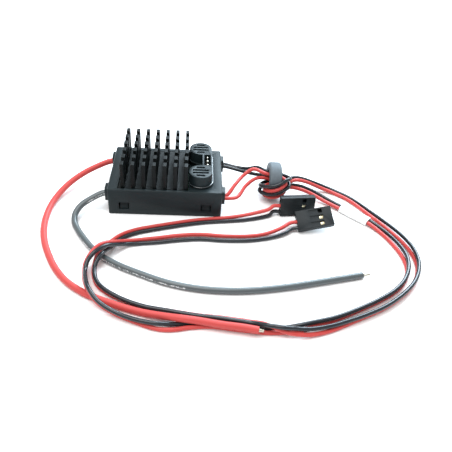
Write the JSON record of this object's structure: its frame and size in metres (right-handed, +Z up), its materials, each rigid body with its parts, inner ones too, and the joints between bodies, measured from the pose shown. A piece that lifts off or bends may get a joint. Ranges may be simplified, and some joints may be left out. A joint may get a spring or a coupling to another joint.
{
  "type": "battery eliminator circuit",
  "caption": "Finned voltage regulator for a model's radio receiver, with heavy supply leads, twin output leads through a ferrite core and three-way servo plugs.",
  "frame": {"origin": "centre of the case on its underside, on the surface the part lies on", "axes": "+X along the case towards the output leads and plugs, +Y to the case's rear long side, +Z up out of the heat sink's pins"},
  "size_m": [0.1415, 0.091, 0.022],
  "materials": {
    "case": "satin black moulding with a fine texture",
    "moulding": "smooth black moulding",
    "anodised": "black anodised, satin",
    "tin": "bright tin plate",
    "board": "green lacquered glass-fibre laminate",
    "chip": "matt black epoxy",
    "pad": "soft grey silicone sheet",
    "ferrite": "matt grey sintered ferrite",
    "can": "drawn aluminium can",
    "silicone_red": "soft satin silicone",
    "silicone_black": "soft satin silicone",
    "wire_red": "satin vinyl",
    "wire_black": "glossy vinyl",
    "sleeve": "white printed-label sleeve, left blank"
  },
  "bodies": {
    "root": {"case_cover": "case", "base_plate": "case", "heat_sink": "anodised", "capacitor_shroud": "case", "header_body": "moulding", "header_pin_1": "tin", "header_pin_2": "tin", "header_pin_3": "tin", "circuit_board": "board", "power_transistor_1": "chip", "power_transistor_2": "chip", "thermal_pad": "pad", "inductor": "ferrite", "rectifier_diode": "chip", "controller_chip": "chip", "sense_resistor": "chip", "capacitor_front": "can", "capacitor_rear": "can", "supply_lead_red": "silicone_red", "supply_lead_black": "silicone_black", "supply_tip_red": "tin", "supply_tip_black": "tin", "ferrite_core": "ferrite", "plug_rear_housing": "moulding", "plug_rear_contact_black": "tin", "plug_rear_contact_red": "tin", "plug_front_housing": "moulding", "plug_front_contact_black": "tin", "plug_front_contact_red": "tin", "output_rear_black": "wire_black", "output_rear_red": "wire_red", "output_front_black": "wire_black", "output_front_red": "wire_red", "marker_sleeve": "sleeve"}
  },
  "joints": []
}
